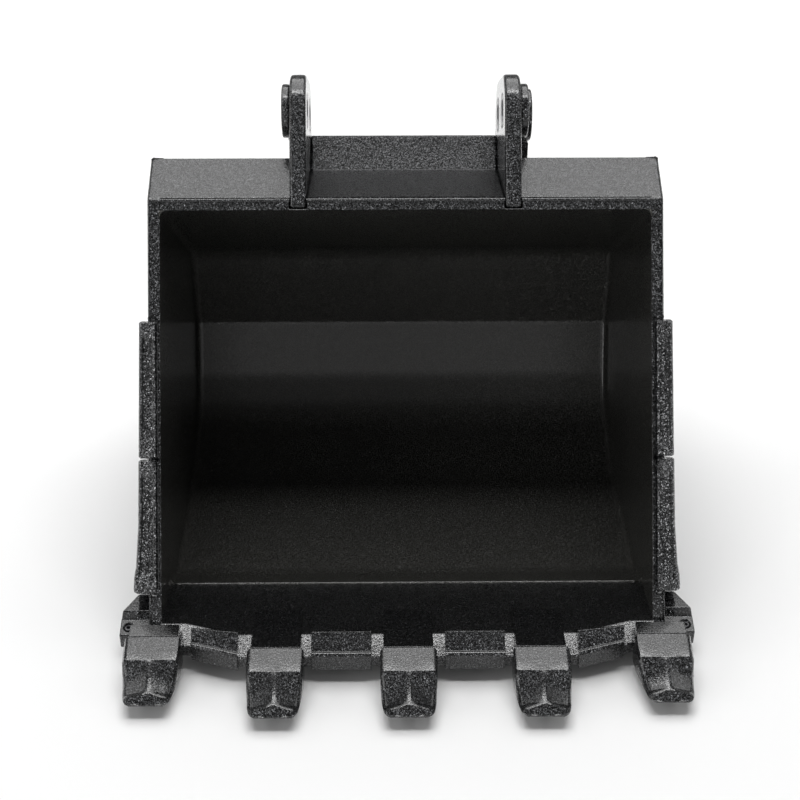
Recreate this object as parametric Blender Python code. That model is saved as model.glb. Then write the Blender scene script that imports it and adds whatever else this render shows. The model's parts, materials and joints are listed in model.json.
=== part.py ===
"""Excavator bucket for a hobby-scale digger, built as an assembly of separate solids.

Frame: X to the right, Y from the teeth towards the back, Z up. The origin is on the
ground under the middle of the bucket. All sizes below are millimetres.
"""

import math

import bmesh
import bpy
from mathutils import Matrix, Vector

MM = 0.001
GAP = 0.12

# Shell
OUTER_WIDTH = 110.0
SIDE_THICKNESS = 2.6
WALL = 2.45
HALF_WIDTH = OUTER_WIDTH / 2
INNER_HALF = HALF_WIDTH - SIDE_THICKNESS
SHELL_HALF = INNER_HALF - GAP

# Side profile of the inner wall, as (Y, Z, corner radius), from the mouth's top to the lip
MOUTH_TOP = (22.6, 81.6, 0.0)
TOP_BEND = (65.9, 49.6, 6.0)
BACK_CREASE = (66.4, 28.2, 3.0)
HEEL = (57.5, 9.0, 20.0)
FLOOR_BACK = (36.0, 2.4, 25.0)
FLOOR_FRONT = (-2.0, 2.4, 9.0)
LIP_CREASE = (-9.8, 5.8, 0.0)
MOUTH_DOWN = Vector((-0.545, -0.839))
MOUTH_NORMAL = Vector((-0.839, 0.545))

# Lip
LIP_TOP_FRONT = (-29.6, 8.4)
LIP_NOSE = (-34.3, 6.2)
LIP_UNDER_FRONT = (-34.1, 3.3)
LIP_UNDER_BACK = (-16.0, 1.9)
LIP_REAR_FOOT = (-11.0, 3.3)
LIP_BEVEL_SLOPE = (LIP_TOP_FRONT[1] - LIP_NOSE[1]) / (LIP_TOP_FRONT[0] - LIP_NOSE[0])
LIP_STRAIGHT_HALF = 36.0
LIP_SWEPT_HALF = 47.2
LIP_SWEEP = 3.7

# Side plates: corners of the foot between the mouth edge and the floor
SIDE_FOOT = ((-18.0, 1.6), (-26.0, 3.0), (-25.4, 7.9))
PLATE_EDGE = 0.35

# Torque boxes and hitch
BOX_RIDGE = (34.8, 88.2)
BOX_BACK = (49.2, 66.2)
BOX_PLATE = 2.0
BOX_MITRE = 0.5
BOX_BACK_FOOT = 2.8
BOX_FRONT_FOOT = 5.4
EAR_GAP_HALF = 21.2
EAR_THICKNESS = 3.6
EAR_OUTER = EAR_GAP_HALF + EAR_THICKNESS
EAR_NOTCH_LENGTH = 7.0
EAR_FOOT_LIFT = 0.4
FRONT_EYE = (40.9, 96.4)
REAR_EYE = (51.9, 90.8)
EYE_RADIUS = 5.8
EAR_REACH = 7.8
EAR_ARC_START = math.radians(142)
EAR_ARC_END = math.radians(-40)
EAR_ARC_STEPS = 8
EAR_HEEL_Y = 63.4
RIB_STAND = {"left": 0.9, "right": 3.4}
RIB_FRONT_Y = 50.3
RIB_BACK_Y = 54.6
RIB_TOP_Z = 84.6
BUSH_RADIUS = 3.4
PIN_RADIUS = 2.5
BOSS_STAND = {"front_left": 1.7, "front_right": 1.7, "rear_left": 1.2, "rear_right": 3.6}
HITCH_RIDGE = (47.0, 79.5)
HITCH_TOP = (53.8, 85.2)
HITCH_PLATE = 2.2
HITCH_TOE = 6.5
HITCH_UNDER = Vector((0.2, -2.5))
HITCH_HEEL = Vector((1.8, -1.4))
BACK_PLATE_TOP = Vector((0.25, -0.2))
BACK_PLATE_DROP = Vector((2.4, -0.3))
BACK_PLATE_FOOT_Y = 60.4
BACK_PLATE_FOOT_AHEAD = 0.9
BACK_PLATE_FOOT_BEHIND = 1.6
HITCH_EDGE = 0.3

# Teeth
TOOTH_X = (-53.4, -27.6, 0.0, 27.6, 53.4)
TOOTH_SETBACK = (LIP_SWEEP, 0.0, 0.0, 0.0, LIP_SWEEP)
TOOTH_WIDTH = 11.8
TOOTH_REAR_GAP = 0.6
TOOTH_CROWN = 0.25
# Tooth sections, as (distance from the rear, bottom Z, top Z, half width)
TOOTH_SECTIONS = (
    (0.0, 2.9, 9.9, 5.9),
    (3.8, 2.9, 9.0, 5.9),
    (10.0, 3.0, 5.9, 5.8),
    (12.4, 3.1, 5.0, 5.4),
    (13.9, 3.3, 4.3, 4.8),
)
STRAP_INSET = 0.7
STRAP_BACK = -20.5
STRAP_RAMP = 1.4
CORNER_STRAP_BACK = -27.4
STRAP_HEIGHT = 1.1
STRAP_BOTTOM = 3.1
# Nose and socket sections, as (distance from the lip's nose, bottom Z, top Z, half width)
NOSE_SECTIONS = ((0.3, 3.7, 8.6, 3.8), (8.6, 4.5, 6.6, 3.0))
SOCKET_SECTIONS = ((-0.5, 3.5, 9.0, 4.0), (8.9, 4.3, 6.75, 3.2))
KEYWAY_BOTTOM = 3.0
KEYWAY_TOP = 5.0
KEYWAY_PLAY = 0.25
KEYWAY_RUN_OUT = 2.0
CLAMP_SCREW_RADIUS = 1.0
CLAMP_SCREW_LENGTH = 1.7
CLAMP_SCREW_Y = -39.6
CLAMP_SCREW_Z = 3.85
CLAMP_HOLE_PLAY = 0.15
CLAMP_HOLE_Z = 3.2
CLAMP_HOLE_LENGTH = 2.4
CLAMP_SOCKET_RADIUS = 0.5
CLAMP_SOCKET_Z = 2.9
CLAMP_SOCKET_LENGTH = 1.4

# Lip shrouds, as (centre X, width)
SHROUDS = ((-40.7, 10.0), (-14.0, 12.6), (14.0, 12.6), (40.7, 10.0))
SHROUD_TOP = 0.9
SHROUD_LAP = 0.6
SHROUD_FACE = 1.5
SHROUD_ROUND = 0.3
SHROUD_CHIN = 1.0
SHROUD_BOTTOM = 3.2

# Side guards, as distances down the mouth edge from its top
GUARD_SPANS = {"upper": (26.0, 55.2), "lower": (55.5, 84.0)}
GUARD_STAND = 2.3
GUARD_TAPER = 0.2
GUARD_FLARE = 3.3
GUARD_FLARE_START = 7.5
GUARD_FLARE_END = 1.8
GUARD_LAP = 1.7
GUARD_FRONT = 1.3
GUARD_DEPTH = 12.0
GUARD_BLOCK = 4.6
GUARD_RIM = 0.5
GUARD_PANEL_START = 2.2
GUARD_PANEL_DEPTH = 0.7
GUARD_SCREW_RADIUS = 1.25
SOCKET_RADIUS = 0.65
SOCKET_LENGTH = 1.6

# Corner guards, as sections (Y, bottom Z, top Z, outer X)
CORNER_SECTIONS = (
    (-11.5, 3.6, 5.2, 57.8),
    (-16.9, 2.6, 8.8, 58.4),
    (-22.4, 2.4, 9.0, 61.0),
    (-23.0, 2.4, 7.1, 61.4),
    (-26.9, 2.6, 6.0, 61.4),
)
CORNER_SCREW_X = 59.6
CORNER_SCREW_Y = -24.9
CORNER_HOLE_Z = 7.0
CORNER_HOLE_LENGTH = 4.4
CORNER_SCREW_Z = 5.7
CORNER_SCREW_RADIUS = 0.9
CORNER_SCREW_LENGTH = 1.6
CORNER_SOCKET_Z = 6.5
CORNER_SOCKET_RADIUS = 0.45

CUT_ROOM = 2.0
CENTRE_SHIFT = -9.9
GROUND_SHIFT = 0.05

ARC_STEP = math.radians(9)
SMOOTH_ANGLE = math.radians(32)
BEVEL_ANGLE = math.radians(40)
X_AXIS = (1, 0, 0)
Z_AXIS = (0, 0, 1)
SIDES = (("left", -1), ("right", 1))


def clear_scene():
    for old in list(bpy.data.objects):
        bpy.data.objects.remove(old, do_unlink=True)


def paint(name, colour, roughness, metallic):
    material = bpy.data.materials.new(name)
    material.use_nodes = True
    shader = material.node_tree.nodes["Principled BSDF"]
    shader.inputs["Base Color"].default_value = (*colour, 1.0)
    shader.inputs["Roughness"].default_value = roughness
    shader.inputs["Metallic"].default_value = metallic
    return material


def add_object(name, mesh_data, material):
    mesh = bpy.data.meshes.new(name)
    bmesh.ops.recalc_face_normals(mesh_data, faces=mesh_data.faces)
    mesh_data.to_mesh(mesh)
    mesh_data.free()
    mesh.materials.append(material)
    part = bpy.data.objects.new(name, mesh)
    bpy.context.collection.objects.link(part)
    return part


def rounded(corners):
    """Turn (y, z, radius) corners into points, with an arc at each rounded corner."""
    points = []
    count = len(corners)
    for index, (y, z, radius) in enumerate(corners):
        corner = Vector((y, z))
        if radius <= 0:
            points.append(corner)
            continue
        before = (Vector(corners[index - 1][:2]) - corner).normalized()
        after = (Vector(corners[(index + 1) % count][:2]) - corner).normalized()
        half = before.angle(after) / 2
        reach = radius / math.tan(half)
        centre = corner + (before + after).normalized() * radius / math.sin(half)
        start = corner + before * reach - centre
        sweep = math.pi - 2 * half
        turn = 1 if before.cross(after) < 0 else -1
        steps = max(2, math.ceil(sweep / ARC_STEP))
        for step in range(steps + 1):
            angle = turn * sweep * step / steps
            points.append(centre + Matrix.Rotation(angle, 2) @ start)
    return points


def offset_path(points, distance):
    """Move an open path sideways by a distance, to the left of its direction."""
    moved = []
    for index, point in enumerate(points):
        ahead = points[min(index + 1, len(points) - 1)] - points[max(index - 1, 0)]
        before = (point - points[index - 1]).normalized() if index else ahead.normalized()
        after = (points[index + 1] - point).normalized() if index + 1 < len(points) else before
        tangent = (before + after).normalized()
        normal = Vector((-tangent.y, tangent.x))
        moved.append(point + normal * distance / max(0.3, normal.dot(Vector((-after.y, after.x)))))
    return moved


def prism(name, outline, x_low, x_high, material):
    """A solid with the same YZ outline all along X."""
    shape = bmesh.new()
    low = [shape.verts.new(Vector((x_low, y, z)) * MM) for y, z in outline]
    high = [shape.verts.new(Vector((x_high, y, z)) * MM) for y, z in outline]
    shape.faces.new(low)
    shape.faces.new(high)
    count = len(outline)
    for index in range(count):
        following = (index + 1) % count
        shape.faces.new((low[index], low[following], high[following], high[index]))
    return add_object(name, shape, material)


def slab(name, outline, first, second, material):
    """A prism between two X places, given in either order."""
    return prism(name, outline, min(first, second), max(first, second), material)


def loft(name, rings, material):
    """A solid through rings of (x, y, z) corners, all with the same count."""
    shape = bmesh.new()
    loops = [[shape.verts.new(Vector(point) * MM) for point in ring] for ring in rings]
    count = len(rings[0])
    for first, second in zip(loops, loops[1:]):
        for index in range(count):
            following = (index + 1) % count
            shape.faces.new((first[index], first[following], second[following], second[index]))
    shape.faces.new(loops[0])
    shape.faces.new(loops[-1])
    return add_object(name, shape, material)


def disc(name, centre, axis, radius, length, material, sides=32):
    """A cylinder whose middle is at centre, along axis."""
    shape = bmesh.new()
    turn = Vector((0, 0, 1)).rotation_difference(Vector(axis)).to_matrix().to_4x4()
    place = Matrix.Translation(Vector(centre) * MM) @ turn
    bmesh.ops.create_cone(
        shape,
        cap_ends=True,
        segments=sides,
        radius1=radius * MM,
        radius2=radius * MM,
        depth=length * MM,
        matrix=place,
    )
    part = add_object(name, shape, material)
    smooth(part)
    return part


def set_origin(part, point):
    """Put an object's origin at a point without moving its surface."""
    origin = Vector(point) * MM
    part.data.transform(Matrix.Translation(-origin))
    part.location = origin


def smooth(part):
    part.data.shade_smooth()
    part.data.set_sharp_from_angle(angle=SMOOTH_ANGLE)


def soften(part, width, segments=1):
    bevel = part.modifiers.new("soft_edges", "BEVEL")
    bevel.width = width * MM
    bevel.segments = segments
    bevel.limit_method = "ANGLE"
    bevel.angle_limit = BEVEL_ANGLE
    bevel.use_clamp_overlap = True
    return part


def combine(part, other, operation):
    modifier = part.modifiers.new(other.name, "BOOLEAN")
    modifier.operation = operation
    modifier.solver = "EXACT"
    modifier.object = other
    other.hide_render = True
    other.display_type = "WIRE"
    return part


def cut(part, cutter):
    return combine(part, cutter, "DIFFERENCE")


def join(part, other):
    return combine(part, other, "UNION")


def mouth_point(down, forward=0.0):
    """A point of the YZ plane, measured down the mouth edge and forward out of the mouth."""
    start = Vector(MOUTH_TOP[:2]) - MOUTH_DOWN * WALL
    return start + MOUTH_DOWN * down + MOUTH_NORMAL * forward


def mouth_strip(top, bottom, forward, thickness):
    """A rectangle of the YZ plane along the mouth edge, reaching back from a forward line."""
    deep = MOUTH_NORMAL * -thickness
    first = mouth_point(top, forward)
    last = mouth_point(bottom, forward)
    return [first, first + deep, last + deep, last]


def inner_wall():
    return rounded([MOUTH_TOP, TOP_BEND, BACK_CREASE, HEEL, FLOOR_BACK, FLOOR_FRONT, LIP_CREASE])


def outer_wall():
    return offset_path(inner_wall(), WALL)


def shell_outline():
    return inner_wall() + outer_wall()[::-1]


def top_height(y):
    """Height of the outer face of the top wall at a given Y."""
    front, bend = Vector(MOUTH_TOP[:2]), Vector(TOP_BEND[:2])
    along = (bend - front).normalized()
    lift = WALL / along.x
    return front.y + (y - front.x) * along.y / along.x + lift


def make_shell(steel):
    shell = prism("wrapper_shell", shell_outline(), -SHELL_HALF, SHELL_HALF, steel)
    front = Vector(MOUTH_TOP[:2]) - MOUTH_DOWN * (WALL + CUT_ROOM) + MOUTH_NORMAL * CUT_ROOM
    back = MOUTH_NORMAL * -(EAR_NOTCH_LENGTH + CUT_ROOM)
    down = MOUTH_DOWN * (WALL + CUT_ROOM - EAR_FOOT_LIFT + GAP)
    outline = [front, front + back, front + back + down, front + down]
    for name, side in SIDES:
        notch = slab(f"notch_{name}", outline, side * (EAR_GAP_HALF - GAP), side * (EAR_OUTER + GAP), steel)
        cut(shell, notch)


def side_outline():
    """Outline of a side plate: the mouth edge, the box end, and the wall's outer profile."""
    wall = outer_wall()
    box_top = [mouth_point(0.0), Vector(BOX_RIDGE), Vector(BOX_BACK)]
    back = [point for point in wall if point.y < BOX_BACK[1]]
    return box_top + back + [Vector(point) for point in SIDE_FOOT]


def make_side_plate(name, side, steel):
    plate = slab(name, side_outline(), side * INNER_HALF, side * HALF_WIDTH, steel)
    for level, (top, bottom) in GUARD_SPANS.items():
        outline = mouth_strip(top - GAP, bottom + GAP, CUT_ROOM, CUT_ROOM + GUARD_FRONT)
        near = side * (HALF_WIDTH - GUARD_LAP - GAP)
        step = slab(f"step_{name}_{level}", outline, near, side * (HALF_WIDTH + CUT_ROOM), steel)
        cut(plate, step)
    soften(plate, PLATE_EDGE)


def lip_rings():
    """Cross-sections of the lip at the X places where its front line bends."""
    places = (-SHELL_HALF, -LIP_SWEPT_HALF, -LIP_STRAIGHT_HALF)
    places = places + tuple(-x for x in reversed(places))
    rings = []
    for x in places:
        back = LIP_SWEEP if abs(x) >= LIP_SWEPT_HALF else 0.0
        rear = LIP_CREASE[0] - GAP
        ring = [
            (x, rear, LIP_CREASE[1]),
            (x, LIP_TOP_FRONT[0] + back, LIP_TOP_FRONT[1]),
            (x, LIP_NOSE[0] + back, LIP_NOSE[1]),
            (x, LIP_UNDER_FRONT[0] + back, LIP_UNDER_FRONT[1]),
            (x, LIP_UNDER_BACK[0], LIP_UNDER_BACK[1]),
            (x, LIP_REAR_FOOT[0], LIP_REAR_FOOT[1]),
        ]
        rings.append(ring)
    return rings


def on_top_wall(y):
    """A point just above the outer face of the top wall."""
    return Vector((y, top_height(y) + GAP))


def make_torque_box(name, side, steel):
    """A bent plate whose ends butt against a side plate and an ear."""
    front = mouth_point(-GAP)
    ridge = Vector(BOX_RIDGE)
    foot = on_top_wall(BOX_BACK[0])
    inner_foot = on_top_wall(BOX_BACK[0] - BOX_BACK_FOOT)
    inner_ridge = ridge - Vector((0.0, BOX_PLATE + BOX_MITRE))
    inner_front = on_top_wall(front.x + BOX_FRONT_FOOT)
    outline = [front, ridge, foot, inner_foot, inner_ridge, inner_front]
    slab(name, outline, side * (EAR_OUTER + GAP), side * SHELL_HALF, steel)


def make_hitch_plates(steel):
    front = mouth_point(-GAP)
    ridge = Vector(HITCH_RIDGE)
    top = Vector(HITCH_TOP)
    heel = top + HITCH_HEEL
    half = EAR_GAP_HALF - GAP
    outline = [front, ridge, top, heel, ridge + HITCH_UNDER, on_top_wall(front.x + HITCH_TOE)]
    soften(prism("hitch_front_plate", outline, -half, half, steel), HITCH_EDGE)
    back_top = heel + BACK_PLATE_TOP
    outline = [
        back_top,
        back_top + BACK_PLATE_DROP,
        on_top_wall(BACK_PLATE_FOOT_Y + BACK_PLATE_FOOT_BEHIND),
        on_top_wall(BACK_PLATE_FOOT_Y - BACK_PLATE_FOOT_AHEAD),
    ]
    soften(prism("hitch_back_plate", outline, -half, half, steel), HITCH_EDGE)


def arc(centre, radius, start, end, steps):
    points = []
    for step in range(steps + 1):
        angle = start + (end - start) * step / steps
        points.append(centre + Vector((math.cos(angle), math.sin(angle))) * radius)
    return points


def ear_outline():
    """Outline of an ear: its front edge, the crown round both eyes, and the notched foot."""
    front_low = mouth_point(WALL - EAR_FOOT_LIFT)
    front_eye = Vector(FRONT_EYE)
    rear_eye = Vector(REAR_EYE)
    across = (rear_eye - front_eye).normalized()
    middle = math.atan2(across.x, -across.y)
    depth = GAP - EAR_NOTCH_LENGTH
    points = [front_low]
    points += arc(front_eye, EAR_REACH, EAR_ARC_START, middle, EAR_ARC_STEPS)
    points += arc(rear_eye, EAR_REACH, middle, EAR_ARC_END, EAR_ARC_STEPS)
    points.append(on_top_wall(EAR_HEEL_Y))
    points.append(mouth_point(-GAP, depth))
    points.append(mouth_point(WALL - EAR_FOOT_LIFT, depth))
    return points


def make_ear(name, side, steel):
    ear = slab(name, ear_outline(), side * EAR_GAP_HALF, side * EAR_OUTER, steel)
    middle = side * (EAR_GAP_HALF + EAR_THICKNESS / 2)
    for label, (y, z) in (("front", FRONT_EYE), ("rear", REAR_EYE)):
        place = (middle, y, z)
        bore = disc(f"bore_{name}_{label}", place, X_AXIS, BUSH_RADIUS + GAP, EAR_THICKNESS + CUT_ROOM, steel)
        cut(ear, bore)


def make_eye(label, side, eye, steel, bush_steel):
    """A boss ring on the outside of an ear, and the bush that lines both."""
    stand = BOSS_STAND[label]
    place = (side * (EAR_OUTER + GAP + stand / 2), *eye)
    boss = disc(f"eye_boss_{label}", place, X_AXIS, EYE_RADIUS, stand, steel, 40)
    cut(boss, disc(f"boss_bore_{label}", place, X_AXIS, BUSH_RADIUS + GAP, stand + CUT_ROOM, steel))
    length = EAR_THICKNESS + GAP + stand
    place = (side * (EAR_GAP_HALF + length / 2), *eye)
    bush = disc(f"eye_bush_{label}", place, X_AXIS, BUSH_RADIUS, length, bush_steel)
    cut(bush, disc(f"bush_bore_{label}", place, X_AXIS, PIN_RADIUS, length + CUT_ROOM, bush_steel))


def make_rib(label, side, steel):
    """A rib on the outside of an ear, from the top wall up to the rear boss."""
    outline = [
        Vector((RIB_FRONT_Y, RIB_TOP_Z)),
        Vector((RIB_BACK_Y, RIB_TOP_Z)),
        on_top_wall(RIB_BACK_Y),
        on_top_wall(RIB_FRONT_Y),
    ]
    inner = EAR_OUTER + GAP
    rib = slab(f"eye_rib_{label}", outline, side * inner, side * (inner + RIB_STAND[label]), steel)
    soften(rib, HITCH_EDGE)


def box_rings(x, front, sections):
    """Rectangles across Y, from (distance ahead of front, bottom Z, top Z, half width)."""
    rings = []
    for ahead, low, high, half in sections:
        y = front - ahead
        rings.append([(x - half, y, low), (x + half, y, low), (x + half, y, high), (x - half, y, high)])
    return rings


def strap_outline(back, front):
    """Outline of an adapter's strap; the corner straps are shorter than the others."""
    height = LIP_TOP_FRONT[1] + STRAP_HEIGHT
    if back:
        low = LIP_NOSE[1] + (CORNER_STRAP_BACK - LIP_NOSE[0] - back) * LIP_BEVEL_SLOPE + GAP
        outline = [(CORNER_STRAP_BACK, low), (CORNER_STRAP_BACK, height)]
    else:
        slope = (LIP_TOP_FRONT[1] - LIP_CREASE[1]) / (LIP_TOP_FRONT[0] - LIP_CREASE[0])
        lip_top = LIP_TOP_FRONT[1] + 1.5 * GAP
        low = lip_top + (STRAP_BACK - LIP_TOP_FRONT[0]) * slope
        outline = [(LIP_TOP_FRONT[0], lip_top), (STRAP_BACK, low)]
        outline.append((STRAP_BACK - STRAP_RAMP, low + STRAP_HEIGHT))
    outline.append((front - TOOTH_REAR_GAP, height))
    outline.append((front - TOOTH_REAR_GAP, STRAP_BOTTOM))
    outline.append((front, STRAP_BOTTOM))
    outline.append((front, LIP_NOSE[1] + GAP))
    return [Vector(point) for point in outline]


def make_adapter(number, x, back, steel):
    """A strap welded on the lip that ends in the nose that carries the tooth."""
    front = LIP_NOSE[0] + back - GAP
    half = TOOTH_WIDTH / 2 - STRAP_INSET
    adapter = prism(f"tooth_adapter_{number}", strap_outline(back, front), x - half, x + half, steel)
    join(adapter, loft(f"nose_{number}", box_rings(x, front, NOSE_SECTIONS), steel))
    slot = CLAMP_SCREW_RADIUS + KEYWAY_PLAY
    tip = front - NOSE_SECTIONS[1][0] - KEYWAY_RUN_OUT
    end = CLAMP_SCREW_Y + back + slot
    keyway = [(tip, KEYWAY_BOTTOM), (end, KEYWAY_BOTTOM), (end, KEYWAY_TOP), (tip, KEYWAY_TOP)]
    cut(adapter, prism(f"keyway_{number}", keyway, x - slot, x + slot, steel))


def tooth_rings(x, front):
    """Cross-sections of a tooth from its open back end to its blunt tip."""
    rear = front - TOOTH_REAR_GAP - GAP
    rings = []
    for ahead, low, high, half in TOOTH_SECTIONS:
        y = rear - ahead
        ring = [(x - half, y, low), (x + half, y, low), (x + half, y, high)]
        rings.append(ring + [(x, y, high + TOOTH_CROWN), (x - half, y, high)])
    return rings


def make_tooth(number, x, back, steel, screw_steel):
    front = LIP_NOSE[0] + back - GAP
    screw_y = CLAMP_SCREW_Y + back
    tooth = loft(f"tooth_{number}", tooth_rings(x, front), steel)
    cut(tooth, loft(f"socket_{number}", box_rings(x, front, SOCKET_SECTIONS), steel))
    radius = CLAMP_SCREW_RADIUS + CLAMP_HOLE_PLAY
    place = (x, screw_y, CLAMP_HOLE_Z)
    cut(tooth, disc(f"screw_hole_{number}", place, Z_AXIS, radius, CLAMP_HOLE_LENGTH, steel, 20))
    set_origin(tooth, (x, front, LIP_NOSE[1]))
    place = (x, screw_y, CLAMP_SCREW_Z)
    screw = disc(
        f"tooth_clamp_screw_{number}", place, Z_AXIS, CLAMP_SCREW_RADIUS, CLAMP_SCREW_LENGTH, screw_steel, 16
    )
    seat = (x, screw_y, CLAMP_SOCKET_Z)
    socket = disc(
        f"screw_socket_{number}", seat, Z_AXIS, CLAMP_SOCKET_RADIUS, CLAMP_SOCKET_LENGTH, screw_steel, 6
    )
    cut(screw, socket)
    set_origin(screw, place)


def make_shroud(number, x, width, steel):
    """A clip-on edge guard over the lip's bevel between two teeth."""
    top_y, top_z = LIP_TOP_FRONT
    nose_y, nose_z = LIP_NOSE
    section = (
        (top_y + SHROUD_LAP, top_z + GAP),
        (top_y - SHROUD_LAP, top_z + SHROUD_TOP),
        (nose_y - SHROUD_FACE + SHROUD_ROUND, nose_z + SHROUD_TOP),
        (nose_y - SHROUD_FACE, nose_z - SHROUD_ROUND),
        (nose_y - SHROUD_CHIN, SHROUD_BOTTOM),
        (nose_y - GAP, SHROUD_BOTTOM),
        (nose_y - GAP, nose_z + GAP / 2),
        (top_y, top_z + GAP),
    )
    rings = []
    for place in (x - width / 2, x + width / 2):
        spread = (abs(place) - LIP_STRAIGHT_HALF) / (LIP_SWEPT_HALF - LIP_STRAIGHT_HALF)
        back = LIP_SWEEP * min(1.0, max(0.0, spread))
        rings.append([(place, y + back, z) for y, z in section])
    loft(f"lip_shroud_{number}", rings, steel)


def guard_rings(level, side):
    """L-shaped sections of a side guard, from its top to its bottom."""
    top, bottom = GUARD_SPANS[level]
    stations = [(top, GUARD_STAND - GUARD_TAPER), (bottom, GUARD_STAND)]
    if level == "lower":
        stations = [
            (top, GUARD_STAND),
            (bottom - GUARD_FLARE_START, GUARD_STAND),
            (bottom - GUARD_FLARE_END, GUARD_FLARE),
            (bottom, GUARD_FLARE - GUARD_TAPER),
        ]
    rings = []
    for down, stand in stations:
        section = (
            (HALF_WIDTH + stand, 0.0),
            (HALF_WIDTH + stand, -GUARD_DEPTH),
            (HALF_WIDTH + GAP, -GUARD_DEPTH),
            (HALF_WIDTH + GAP, GAP - GUARD_FRONT),
            (HALF_WIDTH - GUARD_LAP, GAP - GUARD_FRONT),
            (HALF_WIDTH - GUARD_LAP, 0.0),
        )
        rings.append([(side * x, *mouth_point(down, forward)) for x, forward in section])
    return rings


def make_guard(level, label, side, steel, screw_steel):
    top, bottom = GUARD_SPANS[level]
    name = f"side_guard_{level}_{label}"
    guard = loft(name, guard_rings(level, side), steel)
    first = top + GUARD_BLOCK
    last = bottom - GUARD_BLOCK
    outline = mouth_strip(first, last, CUT_ROOM, CUT_ROOM + GUARD_RIM)
    near = side * (HALF_WIDTH - GUARD_LAP + GUARD_RIM)
    far = side * (HALF_WIDTH + GUARD_STAND - GUARD_RIM)
    cut(guard, slab(f"pocket_{name}", outline, near, far, steel))
    outline = mouth_strip(first, last, -GUARD_PANEL_START, GUARD_DEPTH + CUT_ROOM)
    near = side * (HALF_WIDTH + GUARD_STAND - GUARD_PANEL_DEPTH)
    far = side * (HALF_WIDTH + GUARD_FLARE + CUT_ROOM)
    cut(guard, slab(f"panel_{name}", outline, near, far, steel))
    for end, down in (("top", top + GUARD_BLOCK / 2), ("bottom", bottom - GUARD_BLOCK / 2)):
        make_guard_screw(f"{level}_{label}_{end}", side, down, guard, screw_steel)


def make_guard_screw(label, side, down, guard, screw_steel):
    y, z = mouth_point(down, -GUARD_DEPTH / 2)
    radius = GUARD_SCREW_RADIUS
    place = (side * (HALF_WIDTH + GUARD_STAND / 2), y, z)
    hole = disc(f"hole_guard_{label}", place, X_AXIS, radius + GAP, 3 * GUARD_STAND, screw_steel, 24)
    cut(guard, hole)
    length = GUARD_STAND - 2 * GAP
    place = (side * (HALF_WIDTH + GAP + length / 2), y, z)
    screw = disc(f"guard_screw_{label}", place, X_AXIS, radius, length, screw_steel, 20)
    seat = (side * (HALF_WIDTH + GUARD_STAND), y, z)
    cut(screw, disc(f"guard_socket_{label}", seat, X_AXIS, SOCKET_RADIUS, SOCKET_LENGTH, screw_steel, 6))


def make_corner_guard(label, side, steel, screw_steel):
    """A flared, stepped wedge outside the side plate's foot, with one socket screw."""
    near = side * (HALF_WIDTH + GAP)
    rings = []
    for y, low, high, out in CORNER_SECTIONS:
        far = side * out
        rings.append([(near, y, low), (far, y, low), (far, y, high), (near, y, high)])
    guard = loft(f"corner_guard_{label}", rings, steel)
    x = side * CORNER_SCREW_X
    y = CORNER_SCREW_Y
    radius = CORNER_SCREW_RADIUS
    place = (x, y, CORNER_HOLE_Z)
    cut(guard, disc(f"hole_corner_{label}", place, Z_AXIS, radius + GAP, CORNER_HOLE_LENGTH, steel, 24))
    seat = (x, y, CORNER_SCREW_Z)
    screw = disc(f"corner_screw_{label}", seat, Z_AXIS, radius, CORNER_SCREW_LENGTH, screw_steel, 20)
    place = (x, y, CORNER_SOCKET_Z)
    socket = disc(
        f"corner_socket_{label}", place, Z_AXIS, CORNER_SOCKET_RADIUS, SOCKET_LENGTH, screw_steel, 6
    )
    cut(screw, socket)


def build():
    clear_scene()
    body = paint("charcoal_metallic_paint", (0.028, 0.030, 0.034), 0.42, 0.55)
    inside = paint("charcoal_shell_paint", (0.022, 0.023, 0.026), 0.45, 0.5)
    bush = paint("bush_steel", (0.30, 0.30, 0.31), 0.35, 0.9)
    screw = paint("black_oxide_screw", (0.04, 0.04, 0.042), 0.35, 0.8)
    make_shell(inside)
    loft("lip_plate", lip_rings(), body)
    make_hitch_plates(body)
    for label, side in SIDES:
        make_side_plate(f"side_plate_{label}", side, body)
        make_torque_box(f"torque_box_{label}", side, body)
        make_ear(f"ear_{label}", side, body)
        make_eye(f"front_{label}", side, FRONT_EYE, body, bush)
        make_eye(f"rear_{label}", side, REAR_EYE, body, bush)
        make_rib(label, side, body)
        make_corner_guard(label, side, body, screw)
        for level in GUARD_SPANS:
            make_guard(level, label, side, body, screw)
    for number, (x, back) in enumerate(zip(TOOTH_X, TOOTH_SETBACK), 1):
        make_adapter(number, x, back, body)
        make_tooth(number, x, back, body, screw)
    for number, (x, width) in enumerate(SHROUDS, 1):
        make_shroud(number, x, width, body)
    for part in bpy.data.objects:
        part.location += Vector((0.0, CENTRE_SHIFT, GROUND_SHIFT)) * MM


build()
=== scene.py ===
"""Looks of the excavator bucket: one rounded casting, flake paint and studio light."""

import json
import math

import bmesh
import bpy
from mathutils import Matrix, Vector
from mathutils.bvhtree import BVHTree


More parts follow.
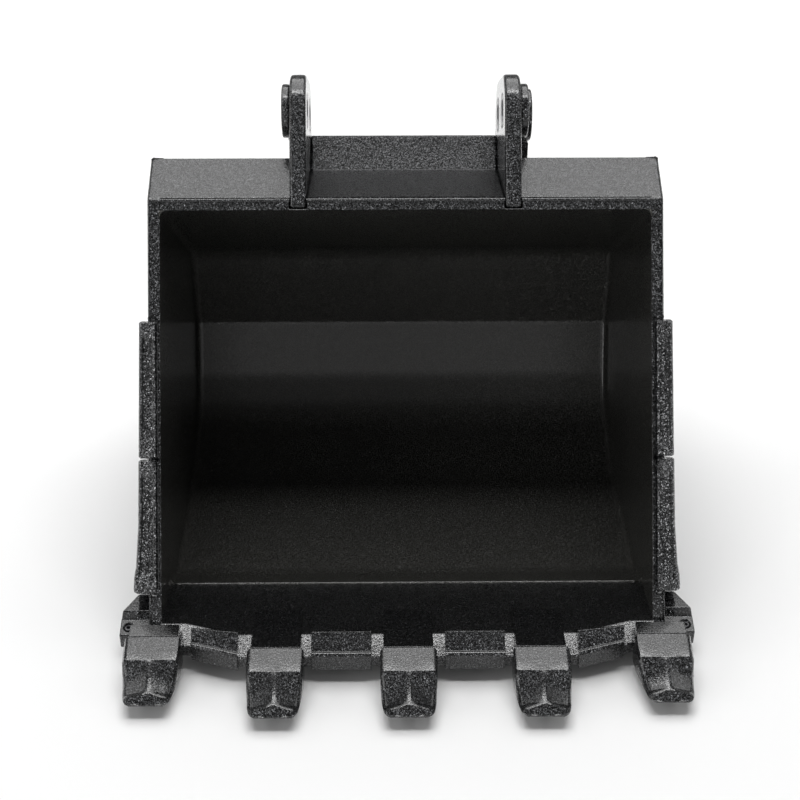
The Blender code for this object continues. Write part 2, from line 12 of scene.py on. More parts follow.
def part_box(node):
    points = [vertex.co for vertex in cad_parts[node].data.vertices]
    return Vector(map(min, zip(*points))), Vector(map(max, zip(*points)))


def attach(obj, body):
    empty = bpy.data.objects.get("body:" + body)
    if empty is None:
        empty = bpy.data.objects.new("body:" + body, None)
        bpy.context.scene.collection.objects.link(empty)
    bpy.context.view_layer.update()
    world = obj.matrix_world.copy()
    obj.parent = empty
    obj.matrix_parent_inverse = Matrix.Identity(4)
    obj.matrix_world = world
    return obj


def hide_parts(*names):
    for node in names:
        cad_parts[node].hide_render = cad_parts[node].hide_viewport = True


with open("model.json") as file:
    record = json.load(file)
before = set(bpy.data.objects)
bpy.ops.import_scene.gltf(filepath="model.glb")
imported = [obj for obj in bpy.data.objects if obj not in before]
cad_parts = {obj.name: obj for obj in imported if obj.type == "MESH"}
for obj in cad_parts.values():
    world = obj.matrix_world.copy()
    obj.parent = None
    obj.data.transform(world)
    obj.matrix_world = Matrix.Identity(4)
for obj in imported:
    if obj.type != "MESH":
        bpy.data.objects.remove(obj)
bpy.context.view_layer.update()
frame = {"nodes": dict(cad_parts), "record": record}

MM = 0.001
WELD = 1e-6
CLOSE = 0.05
SHIFT = Vector((0.0, -9.9, 0.05))

# The camera, in millimetres in front of the bucket and above the ground
CAMERA_PLACE = Vector((-5.47, -273.13, 227.09))
CAMERA_YAW = math.radians(0.846)
CAMERA_PITCH = math.radians(33.259)
CAMERA_ROLL = math.radians(0.203)
FOCAL_SHARE = 1535 / 800
SENSOR = 36.0

# The mouth's edge as (y, z): its top corner, its normal and its direction down the side plates
MOUTH_TOP = Vector((12.7, 81.65))
MOUTH_NORMAL = Vector((-0.839, 0.545))
MOUTH_DOWN = Vector((-0.545, -0.839))
WALL = 2.45
HALF_WIDTH = 55.0
SIDE_INNER = 52.4
SHELL_HALF = 52.28
EAR_INNER = 21.2
EAR_OUTER = 24.8
GAP = 0.12
LAP = 0.06
RIM_DEPTH = 0.6


# ---------------------------------------------------------------- materials

# Metallic paints: flake size in millimetres, how far flakes lean, and their darkest and brightest colour
PAINTS = {
    "flake_paint": {
        "grain": 0.18, "tilt": 1.5, "roughness": 0.35,
        "dark": (0.005, 0.0051, 0.0054), "bright": (0.115, 0.117, 0.121),
    },
    # A lighter copy of the casting paint for the inside of the bowl: painted light, standing in for the
    # light that reaches into the bowl
    "bowl_lightened_paint": {
        "grain": 0.14, "tilt": 1.5, "roughness": 0.4, "coat_roughness": 0.2, "metallic": 0.6,
        "dark": (0.018, 0.0178, 0.016), "bright": (0.1, 0.0985, 0.089),
    },
    # A brighter copy of the casting paint for the side guards and the lip plate: a painted highlight,
    # standing in for the light their rims and bevels catch
    "guard_and_lip_highlight_paint": {
        "grain": 0.16, "tilt": 1.6, "roughness": 0.3,
        "dark": (0.006, 0.0061, 0.0064), "bright": (0.26, 0.262, 0.268),
    },
    # A darker, duller copy of the casting paint for the hitch front plate: painted shade, standing in for
    # the shade between the ears
    "hitch_shaded_paint": {
        "grain": 0.18, "tilt": 1.5, "roughness": 0.4, "coat": 0.35,
        "dark": (0.005, 0.0051, 0.0054), "bright": (0.1, 0.102, 0.106),
    },
}
FLAKE_DARK_SHARE = 0.3
PEEL_SCALE = 2600.0
PEEL_DEPTH = 0.00006
STEEL_SCALE = 900.0
STEEL_DEPTH = 0.00005
STEEL_DARK_SHARE = 0.55


def new_material(name):
    material = bpy.data.materials.new(name)
    material.use_nodes = True
    nodes = material.node_tree.nodes
    return material, nodes, material.node_tree.links, nodes["Principled BSDF"]


def vector_step(nodes, links, operation, first, second):
    """One vector sum, with sockets or constants as its operands."""
    step = nodes.new("ShaderNodeVectorMath")
    step.operation = operation
    for index, value in enumerate((first, second)):
        if isinstance(value, bpy.types.NodeSocket):
            links.new(value, step.inputs[index])
        elif value is not None:
            step.inputs[index].default_value = value
    return step.outputs[0]


def flake_colours(nodes, links, cells, dark, bright):
    """Each flake's own brightness, between two colours."""
    parts = nodes.new("ShaderNodeSeparateColor")
    links.new(cells, parts.inputs[0])
    shade = nodes.new("ShaderNodeValToRGB")
    low, high = shade.color_ramp.elements
    low.position, low.color = FLAKE_DARK_SHARE, (*dark, 1)
    high.position, high.color = 1.0, (*bright, 1)
    links.new(parts.outputs[1], shade.inputs[0])
    return shade.outputs[0]


def noise_bump(nodes, links, noise, strength, depth):
    bump = nodes.new("ShaderNodeBump")
    bump.inputs["Strength"].default_value = strength
    bump.inputs["Distance"].default_value = depth
    links.new(noise, bump.inputs["Height"])
    return bump.outputs[0]


def noise_grain(nodes, links, place, scale, detail):
    grain = nodes.new("ShaderNodeTexNoise")
    grain.inputs["Scale"].default_value = scale
    grain.inputs["Detail"].default_value = detail
    links.new(place, grain.inputs["Vector"])
    return grain.outputs[0]


def flake_paint(name):
    """Metallic paint: every flake is a small cell with its own tilt and brightness."""
    look = PAINTS[name]
    material, nodes, links, shader = new_material(name)
    place = nodes.new("ShaderNodeTexCoord").outputs["Object"]
    flakes = nodes.new("ShaderNodeTexVoronoi")
    flakes.inputs["Scale"].default_value = 1.0 / (look["grain"] * MM)
    links.new(place, flakes.inputs["Vector"])
    cells = flakes.outputs["Color"]
    centred = vector_step(nodes, links, "SUBTRACT", cells, (0.5, 0.5, 0.5))
    tilt = vector_step(nodes, links, "MULTIPLY", centred, (look["tilt"],) * 3)
    surface = nodes.new("ShaderNodeNewGeometry").outputs["Normal"]
    tipped = vector_step(nodes, links, "ADD", surface, tilt)
    links.new(vector_step(nodes, links, "NORMALIZE", tipped, None), shader.inputs["Normal"])
    colour = flake_colours(nodes, links, cells, look["dark"], look["bright"])
    links.new(colour, shader.inputs["Base Color"])
    peel = noise_grain(nodes, links, place, PEEL_SCALE, 2.0)
    links.new(noise_bump(nodes, links, peel, 0.5, PEEL_DEPTH), shader.inputs["Coat Normal"])
    shader.inputs["Metallic"].default_value = look.get("metallic", 1.0)
    shader.inputs["Roughness"].default_value = look["roughness"]
    shader.inputs["Coat Weight"].default_value = look.get("coat", 1.0)
    shader.inputs["Coat Roughness"].default_value = look.get("coat_roughness", 0.14)
    shader.inputs["Coat IOR"].default_value = 1.5
    return material


def worn_steel(name, grey, roughness):
    """Bare or blackened steel with a fine grain."""
    material, nodes, links, shader = new_material(name)
    place = nodes.new("ShaderNodeTexCoord").outputs["Object"]
    grain = noise_grain(nodes, links, place, STEEL_SCALE, 4.0)
    shade = nodes.new("ShaderNodeValToRGB")
    shade.color_ramp.elements[0].color = (*[STEEL_DARK_SHARE * c for c in grey], 1)
    shade.color_ramp.elements[1].color = (*grey, 1)
    links.new(grain, shade.inputs[0])
    links.new(shade.outputs[0], shader.inputs["Base Color"])
    links.new(noise_bump(nodes, links, grain, 0.4, STEEL_DEPTH), shader.inputs["Normal"])
    shader.inputs["Metallic"].default_value = 1.0
    shader.inputs["Roughness"].default_value = roughness
    return material


# ---------------------------------------------------------------- pieces

FLAT_FACE_WEIGHT = 90
MERGE_ANGLE = math.radians(0.5)
SHARP_EDGE = math.radians(28.0)
MOVED_WITHIN = 0.03

SLOTS = {part["node"]: part["material_slot"] for part in frame["record"]["subparts"]}
BODIES = {
    node: body
    for body, nodes in frame["record"]["behaviour"]["bodies"].items()
    for node in nodes
}


def add_piece(name, shape, material, nodes, sharp=35.0, host="wrapper_shell"):
    """Make an object from a bmesh; it stands for CAD nodes, or is a detail on a host node."""
    bmesh.ops.recalc_face_normals(shape, faces=shape.faces)
    mesh = bpy.data.meshes.new(name)
    shape.to_mesh(mesh)
    shape.free()
    mesh.materials.append(material)
    mesh.shade_smooth()
    mesh.set_sharp_from_angle(angle=math.radians(sharp))
    piece = bpy.data.objects.new(name, mesh)
    bpy.context.collection.objects.link(piece)
    weighting = piece.modifiers.new("weighted_normals", "WEIGHTED_NORMAL")
    weighting.keep_sharp = True
    weighting.weight = FLAT_FACE_WEIGHT
    host = nodes[0] if nodes else host
    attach(piece, BODIES[host])
    if nodes:
        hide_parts(*nodes)
    return piece


def node_shape(node):
    """The node's mesh as clean polygons, in world coordinates."""
    shape = bmesh.new()
    shape.from_mesh(frame["nodes"][node].data)
    shape.transform(frame["nodes"][node].matrix_world)
    bmesh.ops.remove_doubles(shape, verts=shape.verts, dist=WELD)
    bmesh.ops.dissolve_limit(
        shape,
        angle_limit=MERGE_ANGLE,
        verts=shape.verts,
        edges=shape.edges,
    )
    return shape


def stretch(shape, moves):
    """Move the end faces at some X places (both sides), so that neighbours meet without a seam."""
    for vertex in shape.verts:
        for old, new in moves:
            if abs(abs(vertex.co.x) - old * MM) < MOVED_WITHIN * MM:
                vertex.co.x = math.copysign(new * MM, vertex.co.x)


def mouth_distance(point):
    """Distance of a point, in metres, in front of the plane of the mouth."""
    return MOUTH_NORMAL.dot(Vector((point.y, point.z)) - MOUTH_TOP * MM)


def is_butt(edge, places):
    """True for an edge that lies in a butt face at one of the X places, behind the mouth's plane."""
    for place in places:
        if all(abs(abs(vertex.co.x) - place * MM) < CLOSE * MM for vertex in edge.verts):
            on_mouth = all(abs(mouth_distance(vertex.co)) < CLOSE * MM for vertex in edge.verts)
            below = all(vertex.co.z < MOUTH_TOP.y * MM for vertex in edge.verts)
            if place != SIDE_INNER or not (on_mouth and below):
                return True
    return False


def soften(shape, width, segments=3, butts=()):
    """Round every sharp edge, except the hidden ones in butt faces."""
    edges = []
    for edge in shape.edges:
        if len(edge.link_faces) == 2 and edge.calc_face_angle() > SHARP_EDGE and not is_butt(edge, butts):
            edges.append(edge)
    bmesh.ops.bevel(
        shape,
        geom=edges,
        offset=width * MM,
        offset_type="OFFSET",
        segments=segments,
        profile=0.5,
        affect="EDGES",
        clamp_overlap=False,
        miter_outer="ARC",
    )


def pull_in_spikes(shape, faceted, width, low, high):
    """Put rounded corners that overshot back onto the faceted surface and into its box."""
    for vertex in shape.verts:
        spot, _, _, gap = faceted.find_nearest(vertex.co)
        if gap > width * MM:
            vertex.co = spot
        for axis in range(3):
            vertex.co[axis] = min(high[axis], max(low[axis], vertex.co[axis]))


def refine(node, material, width, moves=(), butts=()):
    """Replace a CAD node by the same shape with rounded edges."""
    shape = node_shape(node)
    stretch(shape, moves)
    faceted = BVHTree.FromBMesh(shape)
    low = [min(vertex.co[axis] for vertex in shape.verts) for axis in range(3)]
    high = [max(vertex.co[axis] for vertex in shape.verts) for axis in range(3)]
    soften(shape, width, butts=butts)
    pull_in_spikes(shape, faceted, width, low, high)
    return add_piece(f"{node}_cast", shape, material, [node])


def loft(rings):
    """A closed skin through rings of points in millimetres, all with the same count."""
    shape = bmesh.new()
    loops = [[shape.verts.new(Vector(point) * MM) for point in ring] for ring in rings]
    count = len(rings[0])
    for first, second in zip(loops, loops[1:]):
        for index in range(count):
            following = (index + 1) % count
            shape.faces.new((first[index], first[following], second[following], second[index]))
    shape.faces.new(loops[0])
    shape.faces.new(loops[-1])
    bmesh.ops.recalc_face_normals(shape, faces=shape.faces)
    return shape


def cylinder(centre, radius, length, axis="Z"):
    """A cylinder along Z or X, in millimetres."""
    turn = Matrix.Rotation(math.radians(90), 4, "Y") if axis == "X" else Matrix()
    shape = bmesh.new()
    bmesh.ops.create_cone(
        shape,
        cap_ends=True,
        segments=32,
        radius1=radius * MM,
        radius2=radius * MM,
        depth=length * MM,
        matrix=Matrix.Translation(Vector(centre) * MM) @ turn,
    )
    return shape


def mm_box(node):
    low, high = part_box(node)
    return Vector(low) / MM, Vector(high) / MM


# ---------------------------------------------------------------- teeth

# Along a tooth: distance from the rear, ridge height, half width, side slope, bottom height
TOOTH_RUN = (
    (0.0, 9.72, 5.72, 0.0, 2.95),
    (0.3, 9.90, 5.88, 0.0, 2.9),
    (1.8, 9.40, 5.9, 0.0, 2.9),
    (3.2, 8.94, 5.9, 0.0, 2.9),
    (5.3, 8.25, 5.9, 0.0, 2.9),
    (5.5, 8.17, 5.88, 0.025, 2.9),
    (6.1, 7.9, 5.84, 0.13, 2.9),
    (6.7, 7.6, 5.8, 0.25, 2.9),
    (7.6, 7.12, 5.74, 0.35, 2.9),
    (8.8, 6.52, 5.66, 0.38, 2.9),
    (10.0, 5.96, 5.54, 0.38, 2.95),
    (11.0, 5.52, 5.42, 0.36, 3.0),
    (11.7, 5.24, 5.3, 0.32, 3.05),
    (12.0, 5.13, 5.25, 0.27, 3.1),
    (12.5, 4.87, 5.12, 0.19, 3.1),
    (12.75, 4.64, 5.0, 0.16, 3.1),
    (13.1, 4.2, 4.84, 0.12, 3.15),
    (13.5, 3.85, 4.6, 0.1, 3.2),
    (13.85, 3.6, 4.2, 0.04, 3.3),
)
TOP_STEPS = 30
NOSE_LENGTH = 8.6
NOSE_SHARE = 0.6
NOSE_MIDDLE = 5.4
NOSE_DROP = 0.5
EDGE_ROUND = 0.85
CREST_DROP = 0.12
CROWN_HALF = 0.15
CROWN_FLARE = 1.2
FOOT_EDGE = 0.3
SCREW_HOLE_RADIUS = 1.15
SCREW_HOLE_LENGTH = 4.0
# Along a socket: distance from the rear, bottom height, top height, half width
SOCKET_RUN = ((-1.0, 3.5, 8.8, 4.0), (5.6, 4.0, 6.45, 3.4))
# Per tooth: the side that narrows towards the tip (+1 right, -1 left), and by how much
TOOTH_TAPER = {1: (1, 0.8), 2: (1, 0.3), 3: (1, 0.0), 4: (-1, 0.3), 5: (-1, 1.0)}


def smooth_step(value, low, high):
    share = min(1.0, max(0.0, (value - low) / (high - low)))
    return share * share * (3 - 2 * share)


def tooth_section(distance, ridge, half, scoop, bottom, inner_side, inner_taper):
    """Points of one cross-section, as (x, z) from the tooth's middle line."""
    narrow = inner_taper * smooth_step(distance, 1.0, 13.0)
    crown = CROWN_HALF + CROWN_FLARE * smooth_step(distance, 11.0, 12.3)
    points = []
    for step in range(TOP_STEPS + 1):
        u = 2 * step / TOP_STEPS - 1
        side = abs(u)
        reach = half - (narrow if u * inner_side > 0 else 0.0)
        edge = max(0.0, side * reach - (reach - EDGE_ROUND)) / EDGE_ROUND
        dip = scoop * max(0.0, side * reach - crown) + CREST_DROP * side
        drop = EDGE_ROUND * (1 - math.sqrt(max(0.0, 1 - edge * edge)))
        points.append((u * reach, max(bottom + FOOT_EDGE, ridge - dip - drop)))
    right = half - (narrow if inner_side > 0 else 0.0)
    left = half - (narrow if inner_side < 0 else 0.0)
    points.append((right, bottom + FOOT_EDGE))
    points.append((right - FOOT_EDGE, bottom))
    points.append((FOOT_EDGE - left, bottom))
    points.append((-left, bottom + FOOT_EDGE))
    return points


def tooth_shape(low, high, inner_side, inner_taper):
    middle = (low.x + high.x) / 2
    rings = []
    for run in TOOTH_RUN:
        section = tooth_section(*run, inner_side, inner_taper)
        rings.append([(middle + x, high.y - run[0], z + SHIFT.z) for x, z in section])
    return loft(rings)


def socket_shape(low, high):
    middle = (low.x + high.x) / 2
    rings = []
    for distance, bottom, top, half in SOCKET_RUN:
        corners = ((-half, bottom), (half, bottom), (half, top), (-half, top))
        rings.append([(middle + x, high.y - distance, z + SHIFT.z) for x, z in corners])
    return loft(rings)


def carve(shape, *cutters):
    """Cut shapes out of a shape and return the result as a new bmesh."""
    scratch = []
    for index, item in enumerate((shape, *cutters)):
        mesh = bpy.data.meshes.new(f"scratch_{index}")
        item.to_mesh(mesh)
        item.free()
        scratch.append(bpy.data.objects.new(mesh.name, mesh))
        bpy.context.collection.objects.link(scratch[-1])
    for cutter in scratch[1:]:
        modifier = scratch[0].modifiers.new("cut", "BOOLEAN")
        modifier.operation = "DIFFERENCE"
        modifier.solver = "EXACT"
        modifier.object = cutter
    graph = bpy.context.evaluated_depsgraph_get()
    result = bmesh.new()
    result.from_object(scratch[0], graph)
    for item in scratch:
        mesh = item.data
        bpy.data.objects.remove(item, do_unlink=True)
        bpy.data.meshes.remove(mesh)
    return result


def add_tooth(number, material):
    """A scooped tooth with its socket and the hole of its clamp screw."""
    node = f"tooth_{number}"
    low, high = mm_box(node)
    screw_low, screw_high = mm_box(f"tooth_clamp_screw_{number}")
    middle = (screw_low + screw_high) / 2
    hole = cylinder((middle.x, middle.y, low.z), SCREW_HOLE_RADIUS, SCREW_HOLE_LENGTH)
    tooth = tooth_shape(low, high, *TOOTH_TAPER[number])
    shape = carve(tooth, socket_shape(low, high), hole)
    add_piece(f"{node}_cast", shape, material, [node], sharp=30.0)


def add_adapter(number, material):
    """An adapter whose nose is short enough to stay inside the scooped tooth."""
    node = f"tooth_adapter_{number}"
    low, high = mm_box(node)
    front = low.y + NOSE_LENGTH
    shape = node_shape(node)
    for vertex in shape.verts:
        ahead = front - vertex.co.y / MM
        if ahead > 0.5:
            vertex.co.y = (front - ahead * NOSE_SHARE) * MM
            if vertex.co.z > NOSE_MIDDLE * MM:
                vertex.co.z -= NOSE_DROP * MM * ahead / NOSE_LENGTH
    soften(shape, 0.2, 2)
    add_piece(f"{node}_cast", shape, material, [node])


# A shroud's section as (y, z): up its rear foot, down the front face, back under the lip
SHROUD_SECTION = (
    (-29.3, 8.5),
    (-29.65, 9.4),
    (-30.2, 9.65),
    (-33.75, 7.27),
    (-34.05, 7.36),
    (-34.45, 7.2),
    (-34.8, 6.7),
    (-34.95, 3.3),
    (-34.5, 2.95),
    (-33.6, 3.1),
    (-33.9, 6.3),
)
LIP_STRAIGHT_HALF = 36.0
LIP_SWEPT_HALF = 47.2
LIP_SWEEP = 3.7
SHROUD_REAR_FOLLOW = 0.4
SHROUD_FOOT_SINK = 0.35
SHROUD_REAR_POINTS = 3


def shroud_ring(x):
    """The shroud's section at one X, swept back with the lip."""
    spread = (abs(x) - LIP_STRAIGHT_HALF) / (LIP_SWEPT_HALF - LIP_STRAIGHT_HALF)
    back = LIP_SWEEP * min(1.0, max(0.0, spread))
    ring = []
    for index, (y, z) in enumerate(SHROUD_SECTION):
        follow = SHROUD_REAR_FOLLOW if index < SHROUD_REAR_POINTS else 1.0
        sink = SHROUD_FOOT_SINK * back if index == 0 else 0.0
        ring.append((x, y + follow * back + SHIFT.y, z - sink + SHIFT.z))
    return ring


def add_shroud(number, material):
    node = f"lip_shroud_{number}"
    low, high = mm_box(node)
    shape = loft([shroud_ring(low.x), shroud_ring(high.x)])
    soften(shape, 0.12, 2)
    add_piece(f"{node}_cast", shape, material, [node])


# ---------------------------------------------------------------- shell details

FILLET_STEPS = 6
FILLET_SINK = 0.2
FILLET_RADIUS = 1.5
BEAD_HALF = 50.8


def inner_path():
    """The shell's inner wall as (y, z) points, from the mouth's top to the crease at the lip."""
    shape = node_shape("wrapper_shell")
    end = max(shape.faces, key=lambda face: (face.normal.x > 0.9) * len(face.verts))
    outline = [Vector((loop.vert.co.y, loop.vert.co.z)) / MM for loop in end.loops]
    shape.free()
    top = max(point.y for point in outline)
    start = min(range(len(outline)), key=lambda i: outline[i].x + 100 * (outline[i].y < 0.75 * top))
    outline = outline[start:] + outline[:start]
    if outline[1].y > outline[0].y:
        outline = [outline[0]] + outline[:0:-1]
    last = min(range(len(outline)), key=lambda i: outline[i].x)
    return outline[:last]


def path_normals(path):
    """Unit normals of a path, into the bowl."""
    normals = []
    for index in range(len(path)):
        ahead = path[min(index + 1, len(path) - 1)] - path[max(index - 1, 0)]
        normals.append(Vector((ahead.y, -ahead.x)).normalized())
    return normals


def fillet_rings(path, normals, side, radius):
    """Sections of the rounded corner between the shell and a side plate."""
    rings = []
    for point, normal in zip(path, normals):
        ring = []
        for step in range(FILLET_STEPS + 1):
            angle = math.radians(90 * step / FILLET_STEPS)
            x = SIDE_INNER - radius + radius * math.cos(angle)
            height = radius - radius * math.sin(angle)
            place = point + normal * height
            ring.append((side * x, place.x, place.y))
        sunk = point - normal * FILLET_SINK
        ring.append((side * (SIDE_INNER - radius), sunk.x, sunk.y))
        ring.append((side * (SIDE_INNER + FILLET_SINK), sunk.x, sunk.y))
        outer = point + normal * radius
        ring.append((side * (SIDE_INNER + FILLET_SINK), outer.x, outer.y))
        rings.append(ring)
    return rings


def mouth_point(down, forward=0.0):
    """A point (y, z) measured down the mouth edge from its top, and forward out of the mouth."""
    return MOUTH_TOP - MOUTH_DOWN * WALL + MOUTH_DOWN * down + MOUTH_NORMAL * forward


def add_rod(name, material, centre, radius, x_low, x_high, host, sides=16):
    """A round bar along X about a point (y, z)."""
    rings = []
    for x in (x_low, x_high):
        ring = []
        for step in range(sides):
            angle = 2 * math.pi * step / sides
            ring.append((x, centre.x + radius * math.cos(angle), centre.y + radius * math.sin(angle)))
        rings.append(ring)
    add_piece(name, loft(rings), material, [], host=host)


def add_rim_rolls(material):
    """The rounded edge between the mouth's rim and the plates on top of it."""
    centre = mouth_point(0.32, -0.34)
    spans = {
        "left": (0.2 - HALF_WIDTH, -EAR_OUTER),
        "middle": (-EAR_INNER, EAR_INNER),
        "right": (EAR_OUTER, HALF_WIDTH - 0.2),
    }
    for name, (low, high) in spans.items():
        add_rod(f"rim_roll_{name}", material, centre, 0.42, low, high, "wrapper_shell")


# Where the side guards start and end, down the mouth's edge
GUARD_SPANS = {"upper": (26.0, 55.2), "lower": (55.5, 84.0)}
# Outer X of each guard at its top and at its foot, and how far its foot flares
GUARD_WIDTHS = {"upper": (57.0, 57.2, 0.0), "lower": (57.25, 57.5, 0.9)}
# Along a guard: share of its length, and share of the full recess there
GUARD_RECESS = ((0.09, 0.0), (0.12, 0.35), (0.15, 1.0), (0.5, 1.0), (0.8, 1.0), (0.85, 0.3), (0.88, 0.0))
GUARD_END = 0.35
GUARD_FOOT = 1.1
GUARD_REAR = -12.0
GUARD_SEAT = 55.12
GUARD_SCREW_HOLE = (58.0, 1.37, 6.4)


def guard_section(outer, recess):
    """Section of a guard as (x, forward): flank, outer rim, recess, inner rim."""
    flank = outer - 0.6 * recess
    floor = 0.2 - 0.75 * recess
    return (
        (GUARD_SEAT, GUARD_REAR),
        (flank - 0.3, GUARD_REAR),
        (flank, GUARD_REAR + 0.3),
        (flank, -2.7),
        (outer, -2.1),
        (outer, -0.5),
        (outer - 0.15, -0.05),
        (outer - 0.45, 0.18),
        (outer - 0.75, 0.12),
        (outer - 1.05, floor),
        (54.3, floor),
        (54.05, 0.12),
        (53.8, 0.2),
        (53.5, 0.1),
        (53.36, -0.25),
        (53.36, -1.1),
        (GUARD_SEAT, -1.1),
    )


def guard_stations(level):
    """Where along the mouth's edge the sections lie: (down, outer X, recess share, rounding)."""
    top, bottom = GUARD_SPANS[level]
    outer_top, outer_low, flare = GUARD_WIDTHS[level]
    stations = [(top, outer_top - GUARD_END, 0.0, 0.3), (top + GUARD_END, outer_top, 0.0, 0.0)]
    for share, recess in GUARD_RECESS:
        outer = outer_top + (outer_low - outer_top) * share + flare * smooth_step(share, 0.68, 0.93)
        stations.append((top + (bottom - top) * share, outer, recess, 0.0))
    stations.append((bottom - GUARD_FOOT, outer_low + flare, 0.0, 0.0))
    stations.append((bottom - GUARD_END, outer_low + flare * 0.9, 0.0, 0.05))
    stations.append((bottom, outer_low + flare * 0.6 - 0.3, 0.0, 0.3))
    return stations


def add_guard(level, label, side, material):
    node = f"side_guard_{level}_{label}"
    rings = []
    for down, outer, recess, inset in guard_stations(level):
        section = guard_section(outer, recess)
        rings.append([(side * x, *mouth_point(down, forward - inset)) for x, forward in section])
    hole_x, hole_radius, hole_length = GUARD_SCREW_HOLE
    holes = []
    for end in ("top", "bottom"):
        low, high = mm_box(f"guard_screw_{level}_{label}_{end}")
        middle = (low + high) / 2
        holes.append(cylinder((side * hole_x, middle.y, middle.z), hole_radius, hole_length, "X"))
    add_piece(f"{node}_cast", carve(loft(rings), *holes), material, [node], sharp=40.0)


def add_fillets(material):
    path = inner_path()
    normals = path_normals(path)
    for name, side in (("left", -1), ("right", 1)):
        shape = loft(fillet_rings(path, normals, side, FILLET_RADIUS))
        add_piece(f"inner_fillet_{name}", shape, material, [], host="wrapper_shell")
    crease = path[-1] - Vector((0.0, 0.22))
    add_rod("lip_bead", material, crease, 0.5, -BEAD_HALF, BEAD_HALF, "lip_plate", 12)


# ---------------------------------------------------------------- stage

FLOOR_WHITE = 0.81
WORLD_STRENGTH = 0.18
LIGHT_HEIGHT = 0.8
# Softboxes: name, place, size, radiance, and the tilt about X and turn about Z in degrees
LIGHTS = (
    ("strip", (0.0, -0.02, LIGHT_HEIGHT), (0.7, 0.1), 12.0, 0.0, 0.0),
    ("softbox", (0.0, 0.53, LIGHT_HEIGHT), (0.8, 1.0), 3.1, 0.0, 0.0),
    ("left", (-1.1, 0.4, LIGHT_HEIGHT), (0.6, 1.2), 1.9, 0.0, 0.0),
    ("right", (1.1, 0.4, LIGHT_HEIGHT), (0.6, 1.2), 1.7, 0.0, 0.0),
    ("front", (0.0, -1.3, 0.32), (2.0, 0.6), 0.42, 90.0, 0.0),
    ("front_left", (-1.25, -0.75, 0.45), (1.0, 0.8), 2.2, 80.0, -58.0),
)


def add_floor():
    bpy.ops.mesh.primitive_plane_add(size=8.0, location=(0, 0, 0))
    floor = bpy.context.object
    floor.name = "floor"
    material, nodes, links, shader = new_material("floor_white")
    shader.inputs["Base Color"].default_value = (FLOOR_WHITE, FLOOR_WHITE, FLOOR_WHITE, 1)
    shader.inputs["Roughness"].default_value = 0.8
    shader.inputs["Specular IOR Level"].default_value = 0.0
    floor.data.materials.append(material)


def add_light(name, place, size, radiance, tilt, turn):
    """A rectangular softbox that shines down, or level when it is tilted by 90 degrees."""
    data = bpy.data.lights.new(name, "AREA")
    data.shape = "RECTANGLE"
    data.size, data.size_y = size
    data.energy = radiance * math.pi * size[0] * size[1]
    light = bpy.data.objects.new(name, data)
    bpy.context.collection.objects.link(light)
    light.location = place
    light.rotation_euler = (math.radians(tilt), 0.0, math.radians(turn))


def add_world():
    world = bpy.data.worlds.new("studio")
    world.use_nodes = True
    back = world.node_tree.nodes["Background"]
    back.inputs["Color"].default_value = (1, 1, 1, 1)
    back.inputs["Strength"].default_value = WORLD_STRENGTH
    bpy.context.scene.world = world


def add_camera():
    data = bpy.data.cameras.new("camera")
    data.sensor_width = SENSOR
    data.lens = SENSOR * FOCAL_SHARE
    data.clip_start = 0.01
    camera = bpy.data.objects.new("camera", data)
    bpy.context.collection.objects.link(camera)
    flat = math.cos(CAMERA_PITCH)
    ahead = Vector((math.sin(CAMERA_YAW) * flat, math.cos(CAMERA_YAW) * flat, -math.sin(CAMERA_PITCH)))
    level = ahead.cross(Vector((0, 0, 1))).normalized()
    upright = level.cross(ahead)
    right = level * math.cos(CAMERA_ROLL) + upright * math.sin(CAMERA_ROLL)
    up = upright * math.cos(CAMERA_ROLL) - level * math.sin(CAMERA_ROLL)
    turn = Matrix((right, up, -ahead)).transposed().to_4x4()
    camera.matrix_world = Matrix.Translation((CAMERA_PLACE + SHIFT) * MM) @ turn
    bpy.context.scene.camera = camera


# Pieces whose faces inside the bowl, up to some X, get the lighter bowl paint: painted light for the
# light that reaches into the bowl
LIGHTENED_BOWL_REACH = {
    "wrapper_shell": HALF_WIDTH,
    "side_plate_left": SIDE_INNER + 0.1,
    "side_plate_right": SIDE_INNER + 0.1,
}
TO_SIDE = (SHELL_HALF, SIDE_INNER + LAP)
HITCH_MOVE = (EAR_INNER - GAP, EAR_INNER + LAP)
BOX_MOVE = (EAR_OUTER + GAP, EAR_OUTER - LAP)
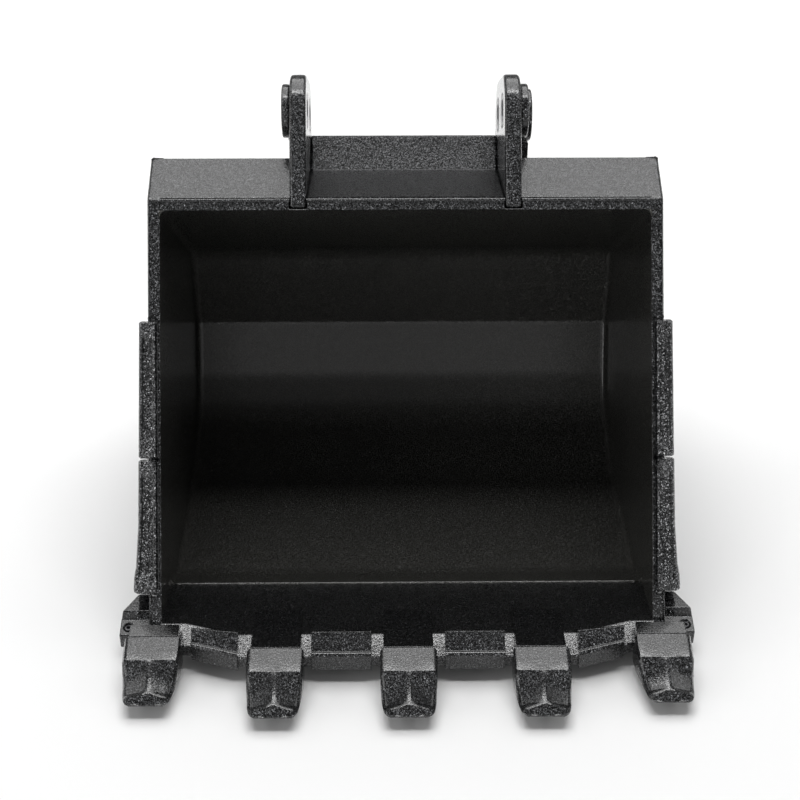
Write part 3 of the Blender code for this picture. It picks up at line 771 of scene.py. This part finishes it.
# Rounded edges by the start of the node's name: width, moved end faces, butt faces that stay sharp
ROUNDING = {
    "wrapper_shell": (0.3, (TO_SIDE,), (SIDE_INNER + LAP,)),
    "lip_plate": (0.25, (TO_SIDE,), (SIDE_INNER + LAP,)),
    "hitch_": (0.3, (HITCH_MOVE,), (EAR_INNER + LAP,)),
    "torque_box_": (0.35, (TO_SIDE, BOX_MOVE), (SIDE_INNER + LAP, EAR_OUTER - LAP)),
    "side_plate_": (0.45, (), (SIDE_INNER,)),
    "ear_": (0.75, (), ()),
    "eye_boss_": (0.4, (), ()),
    "eye_bush_": (0.15, (), ()),
}
SCREW_ROUNDING = (0.1, (), ())
PLAIN_ROUNDING = (0.3, (), ())
TEETH = tuple(f"tooth_{number}" for number in range(1, 6))
MADE_APART = TEETH + ("tooth_adapter", "lip_shroud", "side_guard")


def lighten_inside(piece, material, reach):
    """Give the faces behind the mouth's rim, up to some X, the lighter bowl paint, which is painted light
    standing in for light that reaches inside the bowl.
    """
    piece.data.materials.append(material)
    for face in piece.data.polygons:
        if mouth_distance(face.center) < -RIM_DEPTH * MM and abs(face.center.x) < reach * MM:
            face.material_index = 1


def rounding(node):
    if SLOTS[node] == "screw":
        return SCREW_ROUNDING
    for start, values in ROUNDING.items():
        if node.startswith(start):
            return values
    return PLAIN_ROUNDING


def add_rounded_nodes(finish, own_finish, bowl):
    """Every CAD node whose shape only needs rounded edges."""
    for node in frame["nodes"]:
        if node.startswith(MADE_APART):
            continue
        width, moves, butts = rounding(node)
        material = own_finish.get(node, finish[SLOTS[node]])
        piece = refine(node, material, width, moves, butts)
        # Inside the bowl these pieces get the lighter copy of the paint, painted light
        if node in LIGHTENED_BOWL_REACH:
            lighten_inside(piece, bowl, LIGHTENED_BOWL_REACH[node])


def build():
    # Besides the casting paint come three copies of it: a lighter one inside the bowl (painted light), a
    # brighter one on the guards and the lip plate (painted highlight) and a darker one on the hitch front
    # plate (painted shade)
    paint, bowl, guard, hitch_shade_copy = (flake_paint(name) for name in PAINTS)
    bush = worn_steel("bush_steel", (0.42, 0.42, 0.43), 0.3)
    screw = worn_steel("screw_black_oxide", (0.10, 0.10, 0.105), 0.35)
    finish = {"casting": paint, "shell": paint, "bush": bush, "screw": screw}
    # The hitch front plate gets the painted-shade copy and the lip plate the painted-highlight copy
    add_rounded_nodes(finish, {"hitch_front_plate": hitch_shade_copy, "lip_plate": guard}, bowl)
    for number in range(1, 6):
        add_tooth(number, paint)
        add_adapter(number, paint)
    for number in range(1, 5):
        add_shroud(number, paint)
    # The side guards get the painted-highlight copy of the paint
    for label, side in (("left", -1), ("right", 1)):
        for level in GUARD_SPANS:
            add_guard(level, label, side, guard)
    # The inner fillets and the lip bead get the lighter bowl copy, painted light
    add_fillets(bowl)
    add_rim_rolls(paint)


build()
add_floor()
add_world()
for light in LIGHTS:
    add_light(*light)
add_camera()
bpy.context.scene.view_settings.view_transform = "Standard"
